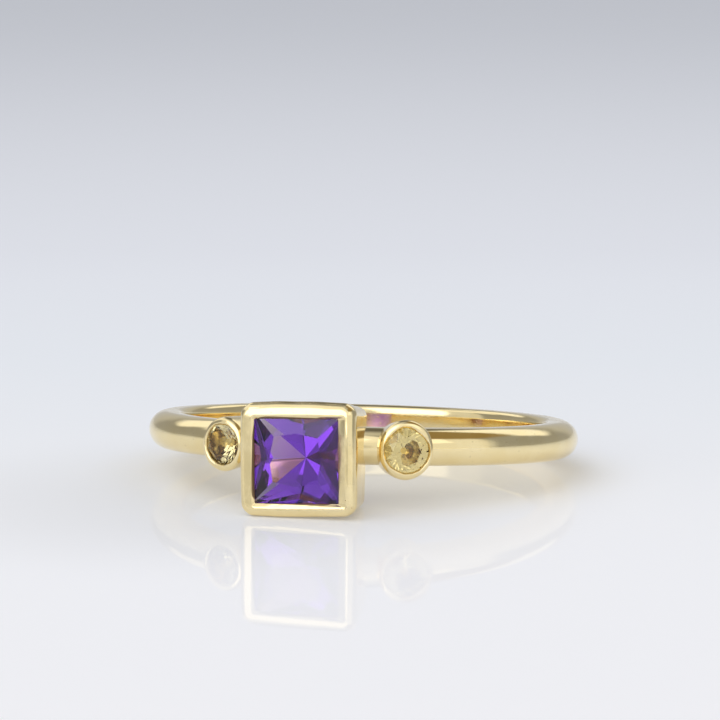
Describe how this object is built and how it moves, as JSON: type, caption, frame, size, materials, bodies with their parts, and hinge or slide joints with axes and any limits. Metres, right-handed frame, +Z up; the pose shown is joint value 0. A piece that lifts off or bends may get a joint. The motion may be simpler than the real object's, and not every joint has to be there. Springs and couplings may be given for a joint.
{
  "type": "stackable ring",
  "caption": "Slim D-section gold finger ring with a square rub-over setting holding a princess-cut amethyst between two small round rub-over settings with brilliant-cut citrines.",
  "frame": {"origin": "centre of the finger hole", "axes": "+Z up from the table that the ring lies on, 6.2 degrees from the finger's axis; -Y towards the large square stone"},
  "size_m": [0.0206, 0.023, 0.0052],
  "materials": {
    "gold": "hand-polished pale yellow gold",
    "amethyst": "faceted clear violet quartz",
    "citrine": "faceted clear pale honey quartz"
  },
  "bodies": {
    "root": {"gold_ring": "gold", "amethyst": "amethyst", "citrine_left": "citrine", "citrine_right": "citrine"}
  },
  "joints": []
}
